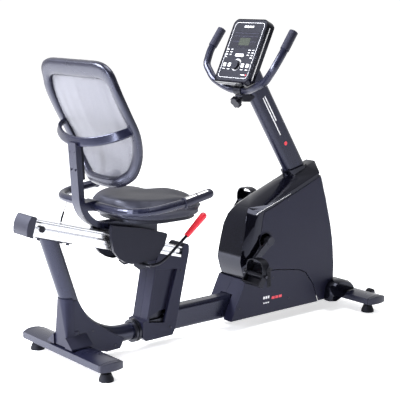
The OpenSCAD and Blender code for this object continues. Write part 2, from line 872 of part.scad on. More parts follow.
module console_body() {
    low = -18;
    high = low + face_h;
    side = [[low, -0.1], [high, -0.1], [high, -28], [high - 16, -40], [60, -40], [26, -22], [low, -18]];
    color(gloss) {
        face_frame() {
            difference() {
                intersection() {
                    translate([0, 0, -50]) linear_extrude(50) rounded_square(-face_w, low, face_w, high, 28);
                    rotate([0, -90, 0]) rotate([0, 0, 90]) translate([0, 0, -face_w - 1])
                        linear_extrude(2 * face_w + 2) polygon([for (p = side) [p.x, -p.y]]);
                }
                translate([0, 0, -1.5]) linear_extrude(3) rounded_square(-96, -5, 96, 262, 14);
                translate([-92, 70, -36]) cube([184, 180, 31]);
                translate([0, dial_v, -20]) cylinder(h = 30, r = 7 + fit);
                for (u = button_places) translate([u - 8.2, dial_v - 8.2, -20]) cube([16.4, 16.4, 30]);
            }
            translate([-80, low + 1, 0.1]) cube([160, 6, 16]);
            translate([-22, 64, mast_cut + gap]) cube([44, 40, -mast_cut - 40.6]);
        }
    }
}

button_places = [-70, -40, 40, 70];

module console_face() {
    color([0.1, 0.1, 0.16]) face_frame() difference() {
        translate([0, 0, -1.4]) linear_extrude(1.4) rounded_square(-95.5, -4.5, 95.5, 261.5, 14);
        translate([0, dial_v, -5]) cylinder(h = 10, r = 7 + fit);
        for (u = button_places) translate([u - 8.2, dial_v - 8.2, -5]) cube([16.4, 16.4, 10]);
    }
}

module console_dial() {
    color(black) face_frame() translate([0, dial_v, 0]) {
        translate([0, 0, 0.4]) cylinder(h = 12, r = 20);
        translate([0, 0, -20]) cylinder(h = 21, r = 7);
    }
}

module button(i) {
    color("white") face_frame() translate([button_places[i] - 8, dial_v - 8, -4]) cube([16, 16, 6.5]);
}

bar_half = [[279, 219, 1229], [216, 221, 1142], [184, 208, 1085], [182, 160, 1030],
    [180, 95, 1005], [190, 52, 990]];

module front_handlebar() {
    color(black) tube_path(smooth(both_sides(bar_half), 18, 4), bar_r, bar_r - 2.5, [1, 0, 0]);
}

module front_grips() {
    grip_r = 18;
    a = bar_half[0];
    b = bar_half[1];
    color(graphite) for (side = [-1, 1]) {
        p = [a.x, side * a.y, a.z];
        q = [b.x, side * b.y, b.z];
        rod(p, p + (q - p) * 0.8, grip_r + 0.5, bar_r);
    }
}

// ---------------------------------------------------------------- seat carriage

module carriage_frame() {
    back = 190;
    front = 420;
    lug = [[290, 22], [308, -44], [338, -56], [366, -44], [376, 22]];
    pedestal = [[-478, rail_z(-478, 72)], [-478, 505.7], [-255, 505.7], [-255, rail_z(-255, 72)]];
    color(black) {
        difference() {
            union() {
                rail_frame() {
                    translate([back, -53.7, 66.3]) cube([front - back, 107.4, 5]);
                    for (s = [back + 10, front - 50]) translate([s, -30, 62.3]) cube([40, 60, 4]);
                    for (side = [0, 1]) mirror([0, side, 0]) {
                        translate([back, 48.7, 22]) cube([front - back, 5, 46]);
                        translate([0, 53.7, 0]) rotate([90, 0, 0]) linear_extrude(5) polygon(lug);
                        for (s = [back + 10, front - 50]) translate([s, 38.6, 38]) cube([40, 10.6, 10]);
                    }
                }
                slab_pair(pedestal, 20, 26);
            }
            axle(lever_at, 6 + fit, -60, 60);
        }
    }
}

cover_outline = [[-499, 526], [-355, 497], [-246, 464], [-240, 456], [-255, 414], [-300, 362],
    [-350, 366], [-411, 364], [-440, 374], [-469, 394], [-492, 424], [-503, 470], [-504, 510]];

module carriage_covers() {
    hub = [-370, 450];
    color(graphite) for (side = [0, 1]) mirror([0, side, 0]) {
        slab(cover_outline, 68, 72);
        difference() {
            slab(cover_outline, 56, 68);
            slab([for (p = cover_outline) hub + (p - hub) * 0.965], 50, 68.1);
        }
        for (p = [[-440, 460], [-290, 425]]) axle(p, 6, 54, 68);
    }
}

module seat_post() {
    end_x = -250;
    color(graphite) difference() {
        union() {
            translate([post_bend.x, 0, post_bend.y]) rotate([90, 0, 0]) rotate([0, 0, 180])
                rotate_extrude(angle = 90, $fn = 96) translate([post_r - post_t / 2, -post_half])
                    square([post_t, 2 * post_half]);
            translate([post_bend.x, -post_half, post_bend.y - post_r - post_t / 2])
                cube([end_x - post_bend.x, 2 * post_half, post_t]);
            slab([[post_bend.x - post_r - post_t / 2, post_bend.y],
                [post_bend.x - post_r + post_t / 2, post_bend.y], [-602, 842], [-626, 842]],
                -post_half, post_half);
            axle(bar_back, seat_tube_r + 5, -28, 28);
            slab([bar_back + [-50, -15], bar_back + [-50, 15], bar_back + [0, 20], bar_back + [0, -20]],
                -post_half, post_half);
        }
        axle(bar_back, seat_tube_r - 0.1, -30, 30);
        for (z = [739, 808]) for (y = [-14, 14]) rod([-640, y, z], [-590, y, z], 3.2);
    }
    color(steel) for (z = [739, 808]) for (y = [-14, 14]) rod([-624, y, z + 2], [-614, y, z + 2], 3);
}

// Corners of the seat: x, distance from the middle and radius
seat_corner = [[-320, 50, 150], [-247, 65, 135]];

module seat_base() {
    color(black) hull() for (c = seat_corner) for (side = [-1, 1])
        translate([c.x, side * c.y, 530.3]) cylinder(h = seat_low - 530.6, r = c.z - 22);
}

module seat_pad() {
    rear_top = 78;
    front_top = 53;
    color([0.3, 0.3, 0.34]) hull() for (c = seat_corner) for (side = [-1, 1]) {
        translate([c.x, side * c.y, seat_low]) cylinder(h = 30, r = c.z);
        translate([c.x, side * (c.y - 30), seat_low])
            cylinder(h = c.x < -300 ? rear_top : front_top, r = c.z - 12);
    }
}

// Backrest: side profile and half width, from the top edge down to the bottom edge
back_rows = [[-612, 146, 1132], [-606, 196, 1112], [-597, 217, 1078], [-571, 226, 1020],
    [-537, 226, 951], [-499, 221, 879], [-474, 199, 808], [-468, 156, 742], [-480, 104, 700],
    [-486, 40, 690]];

// Closed centre line of the backrest's frame
back_loop = let (right = [for (p = back_rows) [p.x, -p.y, p.z]],
        left = [for (i = [len(back_rows) - 1:-1:0]) [back_rows[i].x, back_rows[i].y, back_rows[i].z]])
    concat(right, left);

// Corner-cut a closed loop so that it runs smoothly
function cut_corners(p) = [for (i = [0:len(p) - 1]) let (q = p[(i + 1) % len(p)])
    each [p[i] * 0.75 + q * 0.25, p[i] * 0.25 + q * 0.75]];

module back_ring(depth, band) {
    loop = cut_corners(cut_corners(back_loop));
    n = len(loop);
    forward = unit([0.93, 0, 0.32]);
    skin([for (i = [0:n - 1]) let (t = unit(loop[(i + 1) % n] - loop[(i + n - 1) % n]),
            out = unit(cross(forward, t)), f = cross(t, out))
        [for (k = [0:7]) loop[i] + out * band / 2 * cos(45 * k + 22.5) * 1.08
            + f * depth / 2 * sin(45 * k + 22.5) * 1.08]], true);
}

brace_path = [[-520, 224, 892], [-566, 196, 872], [-598, 130, 852], [-616, 60, 842], [-620, 0, 840]];

module back_frame() {
    brace = concat(brace_path, [for (i = [len(brace_path) - 2:-1:0])
        [brace_path[i].x, -brace_path[i].y, brace_path[i].z]]);
    color(black) {
        back_ring(34, 50);
        difference() {
            skin([for (p = cut_open(brace)) [for (c = [[-6, -17], [6, -17], [6, 17], [-6, 17]])
                [p.x + c.x + 12, p.y, p.z + c.y + 6]]]);
            slab([[-640, 700], [-592.2, 700], [-600.9, 843], [-640, 843]], -post_half - gap, post_half + gap);
        }
        slab([[-592.2, 700], [-580, 700], [-588, 862], [-601.7, 862], [-601.7, 848]], -post_half, post_half);
    }
}

// The same corner cutting for an open path
function cut_open(p) = concat([p[0]], [for (i = [0:len(p) - 2]) each
    [p[i] * 0.75 + p[i + 1] * 0.25, p[i] * 0.25 + p[i + 1] * 0.75]], [p[len(p) - 1]]);

// Inner edge of the same frame, where the mesh is held
mesh_rows = [[-600, 152, 1110], [-590, 188, 1078], [-568, 205, 1020], [-534, 206, 951],
    [-496, 200, 879], [-471, 179, 808], [-466, 137, 742], [-473, 82, 712]];

module back_mesh() {
    sheet = 3;
    color([0.6, 0.6, 0.63]) skin([for (p = mesh_rows)
        [[p.x, -p.y, p.z], [p.x, p.y, p.z], [p.x + sheet, p.y, p.z], [p.x + sheet, -p.y, p.z]]]);
}

grip_start = [-337, 289, 622];
grip_end = [-220, 299, 648];

module seat_handlebar() {
    corner = [bar_back.x, grip_start.y - 4, bar_back.y];
    half = concat([grip_end, grip_start], rounded(grip_start, corner, [corner.x, 0, corner.z], 125, 10));
    color(graphite) tube_path(both_sides(half), seat_tube_r, seat_tube_r - 2.5, [0, 0, 1]);
}

module seat_grips() {
    grip_r = 18;
    color(black) for (side = [-1, 1]) {
        p = [grip_start.x, side * grip_start.y, grip_start.z];
        q = [grip_end.x, side * grip_end.y, grip_end.z];
        d = unit(q - p);
        difference() {
            union() {
                rod(p + 5 * d, p + 13 * d, grip_r + 2.5);
                handle(p + 5 * d, q + grip_r * d, grip_r, grip_r);
            }
            rod(p, q + 0.5 * d, seat_tube_r + fit);
        }
    }
}

module pulse_plates() {
    plate_r = 18.2;
    plate_t = 1;
    length = 46;
    d = grip_end - grip_start;
    tilt = acos(d.z / norm(d));
    color(silver) for (side = [-1, 1]) mirror([0, side < 0 ? 1 : 0, 0])
        translate(grip_start) rotate([0, tilt, atan2(d.y, d.x)])
            for (h = [14, 66]) translate([0, 0, h]) rotate([0, 0, 180 - 42])
                rotate_extrude(angle = 84) translate([plate_r, 0]) square([plate_t, length]);
}

// Route of the pulse lead, from the handlebar's grommet to the carriage
lead_route = [[-537, 185, 582.5], [-538, 184.5, 577], [-543, 181, 569], [-551, 175.5, 560],
    [-560, 169.5, 549], [-569, 163, 538], [-578, 156.5, 527], [-585, 150, 517], [-588.5, 144, 507.5],
    [-586, 137, 499], [-578, 128.5, 492.5], [-566, 119, 488.5], [-551, 108, 486.5],
    [-535, 98, 485.5], [-518, 87.5, 485], [-503, 78.5, 485], [-492, 72.2, 485]];

module pulse_lead() {
    color("silver") bar_path(lead_route, lead_r, [0.2, 1, 0.1], 8);
}

module lead_connector() {
    color(black) difference() {
        bar_path([for (i = [4:7]) lead_route[i]], lead_sleeve_r, [0.2, 1, 0.1], 12);
        bar_path([for (i = [3:8]) lead_route[i]], lead_r + 0.1, [0.2, 1, 0.1], 8);
    }
}

// ---------------------------------------------------------------- adjuster lever

lever_path = [[-340, 350], [-300, 350], [-262, 366], [-160, 443]];
lever_tip = [-64, 522];

module lever_rod() {
    arm = [for (p = lever_path) [p.x, -lever_y, p.y]];
    cam_top = rail_z(-340) - lever_at.y - 1.2;
    color(black) {
        axle(lever_at, 6, -lever_y - 6, 55);
        bar_path(smooth([arm[0], arm[1], arm[2], arm[3]], 18, 5), 6, [0, 1, 0]);
        translate([lever_at.x - 9, -14, lever_at.y]) rotate([0, 0, 0]) cube([18, 28, cam_top - 2]);
    }
}

module lever_grip() {
    color(red) handle([lever_path[3].x, -lever_y, lever_path[3].y], [lever_tip.x, -lever_y, lever_tip.y],
        11, 14.5);
}

// ---------------------------------------------------------------- pedals

module pedal(side) {
    dir = side < 0 ? 180 + crank_angle : crank_angle;
    at = [crank_at.x + crank_len * cos(dir), crank_at.y + crank_len * sin(dir)];
    y0 = side > 0 ? 129 : -233;
    length = 104;
    color(black) difference() {
        union() {
            translate([at.x, y0, at.y]) rotate([0, pedal_tilt, 0]) {
                translate([-46, 0, -13]) cube([92, length, 5]);
                for (x = [-46, 41]) translate([x, 0, -13]) cube([5, length, 26]);
                for (y = [0, length - 5]) translate([-46, y, -13]) cube([92, 5, 26]);
            }
            axle(at, 12, y0, y0 + length);
            translate([at.x - 14, y0 + 0.7, at.y + 8.5]) strap(length - 1.4);
        }
        axle(at, 6 + fit, y0 - 1, y0 + length + 1);
    }
}

pedal_tilt = -52;

// Strap that arches over the foot, from one end of the pedal to the other
module strap(span) {
    rise = 58;
    width = 36;
    thick = 3;
    bend = 44;
    function arch(t) = smooth([[t, 0], [t, rise - t], [span - t, rise - t], [span - t, 0]], bend - t, 5);
    outer = arch(0);
    inner = arch(thick);
    rotate([90, 0, 90]) linear_extrude(width)
        polygon(concat(outer, [for (i = [len(inner) - 1:-1:0]) inner[i]]));
}

stabilisers();
end_caps();
rear_upright();
rail_saddle();
rear_boot();
curve_covers();
seat_rail();
rail_bumpers();
column_post();
column_covers();
main_beam();
drive_frame();
crank_bearings();
brake_motor();
drive_belt();
housing_right();
housing_left();
lower_covers();
top_shroud();
front_hood();
mast();
console_body();
console_face();
handlebar_clamp();
cover_screws();
power_inlet();
carriage_frame();
carriage_covers();
seat_base();
seat_pad();
seat_post();
back_frame();
back_mesh();
seat_handlebar();
seat_grips();
pulse_plates();
pulse_lead();
lead_connector();
lever_rod();
lever_grip();
crank_set();
drive_pulley();
pedal(-1);  // pedal_right
pedal(1);  // pedal_left
flywheel();
magnet_bracket();
front_handlebar();
front_grips();
clamp_knob();
console_dial();
button(0);  // button_1
button(1);  // button_2
button(2);  // button_3
button(3);  // button_4
wheel(-1);  // wheel_right
wheel(1);  // wheel_left
foot(foot_rear, -1);  // foot_rear_right
foot(foot_rear, 1);  // foot_rear_left
foot(foot_front, -1);  // foot_front_right
foot(foot_front, 1);  // foot_front_left
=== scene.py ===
"""Looks of the recumbent exercise bike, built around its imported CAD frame.
Frame in metres: +X the way the rider faces, +Y the rider's left, +Z up.
The sizes below are in millimetres."""
import math

import bmesh
import bpy
import numpy as np
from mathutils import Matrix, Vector


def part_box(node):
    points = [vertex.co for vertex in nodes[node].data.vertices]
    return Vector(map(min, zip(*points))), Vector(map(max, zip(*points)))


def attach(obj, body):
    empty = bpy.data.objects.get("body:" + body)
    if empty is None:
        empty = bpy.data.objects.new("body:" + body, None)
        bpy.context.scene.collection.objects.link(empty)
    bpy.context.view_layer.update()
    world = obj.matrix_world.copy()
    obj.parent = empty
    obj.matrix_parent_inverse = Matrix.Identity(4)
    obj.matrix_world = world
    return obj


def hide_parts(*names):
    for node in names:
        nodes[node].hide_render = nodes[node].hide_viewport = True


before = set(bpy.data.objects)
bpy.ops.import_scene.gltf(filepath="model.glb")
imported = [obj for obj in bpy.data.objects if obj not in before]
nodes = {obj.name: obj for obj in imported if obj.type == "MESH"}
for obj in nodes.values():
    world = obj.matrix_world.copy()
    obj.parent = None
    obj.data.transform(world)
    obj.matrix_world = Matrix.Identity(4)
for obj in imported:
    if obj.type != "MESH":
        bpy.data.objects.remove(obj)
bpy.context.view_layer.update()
MM = 0.001

# ---------------------------------------------------------------- camera
LENS = 99.52
CAMERA_AT = (-2.7905, -3.4132, 1.3713)
AZ, EL = math.radians(-39.07), math.radians(10.49)
cam_data = bpy.data.cameras.new("camera")
cam_data.sensor_width = 36.0
cam_data.lens = LENS
cam_data.clip_end = 50.0
camera = bpy.data.objects.new("camera", cam_data)
bpy.context.scene.collection.objects.link(camera)
camera.location = CAMERA_AT
look = Vector((-math.sin(AZ) * math.cos(EL), math.cos(AZ) * math.cos(EL), -math.sin(EL)))
camera.rotation_mode = "QUATERNION"
camera.rotation_quaternion = look.to_track_quat("-Z", "Y")
bpy.context.scene.camera = camera
bpy.context.scene.view_settings.view_transform = "Standard"

# ---------------------------------------------------------------- materials


def colour_mix(nt, factor, a, b):
    """Base colour that goes from a to b with a factor output."""
    mix = nt.nodes.new("ShaderNodeMix")
    mix.data_type = "RGBA"
    mix.inputs["A"].default_value = (*a, 1)
    mix.inputs["B"].default_value = (*b, 1)
    nt.links.new(factor, mix.inputs["Factor"])
    nt.links.new(mix.outputs["Result"], nt.nodes["Principled BSDF"].inputs["Base Color"])


def relief(nt, height, strength, depth):
    """Bump from a height output, depth in metres."""
    bp = nt.nodes.new("ShaderNodeBump")
    bp.inputs["Strength"].default_value = strength
    bp.inputs["Distance"].default_value = depth
    nt.links.new(height, bp.inputs["Height"])
    nt.links.new(bp.outputs["Normal"], nt.nodes["Principled BSDF"].inputs["Normal"])


def material(name, color, rough=0.5, metal=0.0, coat=0.0, coat_rough=0.08, grain=900.0,
             bump=0.0, mottle=0.12, tint=0.15, sheen=0.0, spec=0.5):
    """Procedural finish: fine grain in the bump, slow variation in colour and roughness."""
    m = bpy.data.materials.new(name)
    m.use_nodes = True
    nt = m.node_tree
    b = nt.nodes["Principled BSDF"]
    b.inputs["Metallic"].default_value = metal
    b.inputs["Coat Weight"].default_value = coat
    b.inputs["Coat Roughness"].default_value = coat_rough
    b.inputs["Specular IOR Level"].default_value = spec
    if not metal:
        b.inputs["Specular Tint"].default_value = (0.74, 0.77, 1, 1)
    if sheen:
        b.inputs["Sheen Weight"].default_value = sheen
        b.inputs["Sheen Roughness"].default_value = 0.4
    co = nt.nodes.new("ShaderNodeTexCoord")
    slow = nt.nodes.new("ShaderNodeTexNoise")
    slow.inputs["Scale"].default_value = 6.0
    slow.inputs["Detail"].default_value = 3.0
    nt.links.new(co.outputs["Object"], slow.inputs["Vector"])
    colour_mix(nt, slow.outputs["Fac"], [c * (1 - tint) for c in color],
               [min(1, c * (1 + tint)) for c in color])
    rr = nt.nodes.new("ShaderNodeMapRange")
    rr.inputs["To Min"].default_value = rough * (1 - mottle)
    rr.inputs["To Max"].default_value = min(1, rough * (1 + mottle))
    nt.links.new(slow.outputs["Fac"], rr.inputs["Value"])
    nt.links.new(rr.outputs["Result"], b.inputs["Roughness"])
    if bump:
        fine = nt.nodes.new("ShaderNodeTexNoise")
        fine.inputs["Scale"].default_value = grain
        fine.inputs["Detail"].default_value = 2.0
        nt.links.new(co.outputs["Object"], fine.inputs["Vector"])
        relief(nt, fine.outputs["Fac"], bump, 0.0004)
    return m


DARK = 0.24  # specular level of the dark plastics and paint
PAINT = material("satin_paint", (0.0065, 0.007, 0.017), rough=0.27, bump=0.1, grain=800)
COVER = material("moulded_cover", (0.0085, 0.0085, 0.02), rough=0.33, bump=0.25, grain=700,
                 spec=DARK)
COVER_DARK = material("dark_cover", (0.006, 0.006, 0.0105), rough=0.42, bump=0.3, grain=700,
                      spec=DARK)
BLACK = material("black_plastic", (0.005, 0.005, 0.007), rough=0.38, bump=0.25, spec=DARK)
GLOSS = material("gloss_black", (0.002, 0.002, 0.004), rough=0.08, mottle=0.05, spec=0.34,
                 bump=0.02, grain=30)
CAP = material("cap_plastic", (0.017, 0.017, 0.025), rough=0.45, bump=0.3, spec=0.35)
ALU = material("anodised_rail", (0.7, 0.71, 0.74), rough=0.24, metal=0.95, bump=0.05, tint=0.03)
STEEL = material("bright_steel", (0.62, 0.62, 0.64), rough=0.3, metal=1.0, tint=0.05)
DARK_STEEL = material("black_steel", (0.007, 0.007, 0.009), rough=0.28, bump=0.1, spec=0.4)
IRON = material("machined_iron", (0.3, 0.3, 0.31), rough=0.4, metal=1.0, bump=0.1)
RUBBER = material("rubber", (0.006, 0.006, 0.007), rough=0.6, bump=0.4, grain=500, spec=DARK)
FOAM = material("foam_grip", (0.014, 0.014, 0.024), rough=0.42, bump=0.5, grain=450, spec=0.4)
RED = material("red_grip", (0.72, 0.03, 0.045), rough=0.3, coat=0.3, bump=0.05, tint=0.08)
CHROME = material("pulse_plate", (0.42, 0.42, 0.43), rough=0.3, metal=1.0, tint=0.03)
WHITE = material("white_key", (0.85, 0.85, 0.87), rough=0.35, tint=0.03)
SILVER = material("silver_trim", (0.85, 0.85, 0.87), rough=0.25, metal=0.7, tint=0.03)
CABLE = material("cable_sleeve", (0.05, 0.05, 0.055), rough=0.45, tint=0.05)


def weave_cloth():
    """Open mesh: a fine weave with vertical streaks of tone, a little see-through."""
    m = material("mesh_weave", (0.2, 0.2, 0.225), rough=0.7, tint=0.08, sheen=0.3)
    nt = m.node_tree
    b = nt.nodes["Principled BSDF"]
    co = nt.nodes.new("ShaderNodeTexCoord")
    waves = []
    for across in ("Y", "Z"):
        w = nt.nodes.new("ShaderNodeTexWave")
        w.bands_direction = across
        w.inputs["Scale"].default_value = 95.0
        nt.links.new(co.outputs["Object"], w.inputs["Vector"])
        waves.append(w)
    high = nt.nodes.new("ShaderNodeMath")
    high.operation = "MAXIMUM"
    for i, w in enumerate(waves):
        nt.links.new(w.outputs["Fac"], high.inputs[i])
    rng = nt.nodes.new("ShaderNodeMapRange")
    rng.inputs["From Min"].default_value = 0.2
    rng.inputs["From Max"].default_value = 0.6
    rng.inputs["To Min"].default_value = 0.62
    rng.inputs["To Max"].default_value = 1.0
    nt.links.new(high.outputs[0], rng.inputs["Value"])
    nt.links.new(rng.outputs["Result"], b.inputs["Alpha"])
    stretch = nt.nodes.new("ShaderNodeMapping")
    stretch.inputs["Scale"].default_value = (1, 38, 1.2)
    streak = nt.nodes.new("ShaderNodeTexNoise")
    streak.inputs["Scale"].default_value = 1.0
    streak.inputs["Detail"].default_value = 4.0
    nt.links.new(co.outputs["Object"], stretch.inputs["Vector"])
    nt.links.new(stretch.outputs["Vector"], streak.inputs["Vector"])
    colour_mix(nt, streak.outputs["Fac"], (0.055, 0.055, 0.065), (0.16, 0.16, 0.175))
    relief(nt, high.outputs[0], 0.5, 0.0006)
    return m


WEAVE = weave_cloth()
SEAT_TOP = material("seat_vinyl", (0.011, 0.011, 0.017), rough=0.5, bump=0.7, grain=420,
                    spec=0.4)
SEAT_SIDE = material("seat_side", (0.008, 0.008, 0.014), rough=0.36, bump=0.15, spec=0.4)
RING = material("back_frame_plastic", (0.009, 0.009, 0.016), rough=0.27, bump=0.3, grain=600,
                spec=0.55)
MARK = material("white_mark", (0.85, 0.85, 0.87), rough=0.5, tint=0.02)
GLASS = material("display_glass", (0.008, 0.008, 0.014), rough=0.08, coat=0.8, coat_rough=0.02,
                 mottle=0.03)
LCD = material("display_panel", (0.024, 0.03, 0.017), rough=0.25, coat=0.6)
DISPLAY_LINE = material("display_line", (0.05, 0.05, 0.09), rough=0.4)
DIAL_RING = material("dial_ring", (0.35, 0.35, 0.37), rough=0.35, metal=0.6)

# ---------------------------------------------------------------- CAD nodes that stay

CORNER = math.radians(32)  # corners turn by more than this, and are softened


def soften(o, width):
    """Bevel modifier, width in millimetres, on the corners."""
    b = o.modifiers.new("bevel", "BEVEL")
    b.width = width * MM
    b.segments = 2
    b.limit_method = "ANGLE"
    b.angle_limit = CORNER
    b.harden_normals = True
    b.use_clamp_overlap = True


def drop_custom_normals(mesh):
    """The normals kept with a CAD mesh would hide what its modifiers do."""
    for a in [a for a in mesh.attributes if a.name == "custom_normal"]:
        mesh.attributes.remove(a)


def shade_smooth(mesh):
    """Every face takes part in smooth shading."""
    for p in mesh.polygons:
        p.use_smooth = True


def dress(name, mat, bevel=0.0):
    """A CAD node keeps its shape, and its corners are softened by modifiers."""
    o = nodes[name]
    o.data.materials.clear()
    o.data.materials.append(mat)
    drop_custom_normals(o.data)
    shade_smooth(o.data)
    if bevel:
        w = o.modifiers.new("weld", "WELD")
        w.merge_threshold = 1e-5
        d = o.modifiers.new("flat", "DECIMATE")
        d.decimate_type = "DISSOLVE"
        d.angle_limit = math.radians(1.0)
        soften(o, bevel)
    else:
        o.data.set_sharp_from_angle(angle=CORNER)


for n, m, bev in [
    ("stabilisers", PAINT, 1.0), ("end_caps", CAP, 2.5), ("rear_upright", PAINT, 0.8),
    ("rail_saddle", DARK_STEEL, 0.6), ("rear_boot", COVER, 4.0), ("curve_covers", COVER, 2.0),
    ("seat_rail", ALU, 0.5), ("rail_bumpers", RUBBER, 1.0), ("column_post", DARK_STEEL, 0),
    ("column_covers", COVER, 3.5), ("main_beam", PAINT, 0.6), ("drive_frame", DARK_STEEL, 0),
    ("crank_bearings", STEEL, 0), ("brake_motor", BLACK, 0), ("drive_belt", RUBBER, 0),
    ("housing_right", COVER, 2.0), ("housing_left", COVER, 2.0), ("lower_covers", COVER, 2.5),
    ("top_shroud", GLOSS, 4.0), ("front_hood", GLOSS, 4.0), ("mast", PAINT, 0.8),
    ("console_body", GLOSS, 3.0), ("console_face", BLACK, 0.3), ("handlebar_clamp", BLACK, 2.0),
    ("cover_screws", DARK_STEEL, 0.3), ("power_inlet", BLACK, 0.5),
    ("carriage_frame", DARK_STEEL, 0.8), ("carriage_covers", COVER_DARK, 2.5),
    ("seat_base", BLACK, 2.0), ("seat_pad", BLACK, 6.0),
    ("seat_post", PAINT, 1.2), ("back_frame", BLACK, 0), ("back_mesh", CABLE, 0),
    ("seat_handlebar", PAINT, 0), ("seat_grips", FOAM, 0.8), ("pulse_plates", CHROME, 0.3),
    ("pulse_lead", CABLE, 0), ("lead_connector", BLACK, 0), ("lever_rod", DARK_STEEL, 0),
    ("lever_grip", RED, 0), ("crank_set", DARK_STEEL, 1.5), ("drive_pulley", BLACK, 0.5),
    ("pedal_right", BLACK, 1.0), ("pedal_left", BLACK, 1.0), ("flywheel", IRON, 0.8),
    ("magnet_bracket", STEEL, 0.3), ("front_handlebar", PAINT, 0), ("front_grips", FOAM, 1.0),
    ("clamp_knob", BLACK, 2.0), ("console_dial", BLACK, 1.5), ("button_1", WHITE, 1.2),
    ("button_2", WHITE, 1.2), ("button_3", WHITE, 1.2), ("button_4", WHITE, 1.2),
    ("wheel_right", RUBBER, 2.0), ("wheel_left", RUBBER, 2.0), ("foot_rear_right", RUBBER, 1.5),
    ("foot_rear_left", RUBBER, 1.5), ("foot_front_right", RUBBER, 1.5),
    ("foot_front_left", RUBBER, 1.5),
]:
    dress(n, m, bev)

# ---------------------------------------------------------------- making new pieces


FOLD = math.radians(40)  # a new piece without a bevel shows an edge where it turns by more


def piece(name, verts, faces, mat, body, bevel=0.0):
    """A mesh in millimetres that rides on a CAD body."""
    mesh = bpy.data.meshes.new(name)
    mesh.from_pydata([tuple(c * MM for c in v) for v in verts], [], faces)
    bm = bmesh.new()
    bm.from_mesh(mesh)
    bmesh.ops.recalc_face_normals(bm, faces=bm.faces)
    bm.to_mesh(mesh)
    bm.free()
    o = bpy.data.objects.new(name, mesh)
    bpy.context.scene.collection.objects.link(o)
    o.data.materials.append(mat)
    shade_smooth(mesh)
    if bevel:
        soften(o, bevel)
    else:
        mesh.set_sharp_from_angle(angle=FOLD)
    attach(o, body)
    return o


def rounded_outline(u0, v0, u1, v1, r, steps=6):
    """Rectangle with round corners, anticlockwise."""
    out = []
    corners = [(u1 - r, v1 - r), (u0 + r, v1 - r), (u0 + r, v0 + r), (u1 - r, v0 + r)]
    for k, (cu, cv) in enumerate(corners):
        for i in range(steps + 1):
            a = math.radians(90 * k + 90 * i / steps)
            out.append((cu + r * math.cos(a), cv + r * math.sin(a)))
    return out


def circle(u, v, r, n=40):
    """Outline of a circle."""
    return [(u + r * math.cos(2 * math.pi * i / n), v + r * math.sin(2 * math.pi * i / n))
            for i in range(n)]


def plate(name, outline, place, low, high, mat, body, bevel=0.0, hole=None):
    """An outline of (u, v) points made solid between two heights, which place(u, v, height) puts
    in the world."""
    n = len(outline)
    verts = [place(u, v, h) for h in (low, high) for u, v in outline]
    sides = [(i, (i + 1) % n, n + (i + 1) % n, n + i) for i in range(n)]
    if not hole:
        caps = [tuple(range(n))[::-1], tuple(range(n, 2 * n))]
        return piece(name, verts, caps + sides, mat, body, bevel)
    verts += [place(u, v, h) for h in (low, high) for u, v in hole]
    faces = list(sides)
    for i in range(n):
        j = (i + 1) % n
        faces.append((2 * n + i, 2 * n + j, 3 * n + j, 3 * n + i))
        faces.append((i, j, 2 * n + j, 2 * n + i))
        faces.append((n + i, n + j, 3 * n + j, 3 * n + i))
    return piece(name, verts, faces, mat, body, bevel)


def smooth_path(points, per=8, closed=False):
    """Catmull-Rom points through a list of millimetre points."""
    p = [Vector(q) for q in points]
    n = len(p)
    out = []
    for i in range(n if closed else n - 1):
        if closed:
            a, b, c, d = (p[(i + k) % n] for k in (-1, 0, 1, 2))
        else:
            a, b, c, d = p[max(i - 1, 0)], p[i], p[i + 1], p[min(i + 2, n - 1)]
        for k in range(per):
            t = k / per
            out.append(0.5 * (2 * b + (c - a) * t + (2 * a - 5 * b + 4 * c - d) * t * t
                              + (3 * b - a - 3 * c + d) * t ** 3))
    return out if closed else out + [p[-1]]


def sweep(name, path, section, side, mat, body, closed=False):
    """A section of (a, b) points carried along a path; a goes along side, b across both."""
    n = len(path)
    verts = []
    for i, p in enumerate(path):
        before = path[(i - 1) % n] if closed or i else path[0]
        after = path[(i + 1) % n] if closed or i < n - 1 else path[-1]
        along = (after - before).normalized()
        s = Vector(side)
        s = (s - along * s.dot(along)).normalized()
        t = along.cross(s)
        verts += [p + s * a + t * b for a, b in (section(p) if callable(section) else section)]
    m = len(verts) // n
    faces = []
    for i in range(n if closed else n - 1):
        j = (i + 1) % n
        faces += [(i * m + k, i * m + (k + 1) % m, j * m + (k + 1) % m, j * m + k)
                  for k in range(m)]
    if not closed:
        faces += [tuple(range(m)), tuple(range((n - 1) * m, n * m))]
    return piece(name, verts, faces, mat, body)


def oval(w, h, power=2.0, n=20):
    """Section of width w and height h, squarer as power grows."""
    out = []
    for i in range(n):
        a = 2 * math.pi * i / n
        c, s = math.cos(a), math.sin(a)
        out.append((w / 2 * math.copysign(abs(c) ** (2 / power), c),
                    h / 2 * math.copysign(abs(s) ** (2 / power), s)))
    return out


# ---------------------------------------------------------------- lead of the pulse plates

LEAD_D = 3.0
LEAD_ROUTE = [(-537, 185, 582.5), (-538, 184.5, 577), (-543, 181, 569), (-551, 175.5, 560),
              (-560, 169.5, 549), (-569, 163, 538), (-578, 156.5, 527), (-585, 150, 517),
              (-588.5, 144, 507.5),
              (-586, 137, 499), (-578, 128.5, 492.5), (-566, 119, 488.5), (-551, 108, 486.5),
              (-535, 98, 485.5), (-518, 87.5, 485), (-503, 78.5, 485), (-492, 72.2, 485)]


def lead():
    """The thin lead that hangs from the grips' bar to the carriage; its in-line connector is the
    CAD node, left as it is.
    """
    pts = smooth_path(LEAD_ROUTE, per=3)
    o = sweep("hanging_lead", pts, oval(LEAD_D, LEAD_D, n=12), (0.2, 1, 0.1), CABLE, "carriage")
    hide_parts("pulse_lead")


lead()

# ---------------------------------------------------------------- seat pad


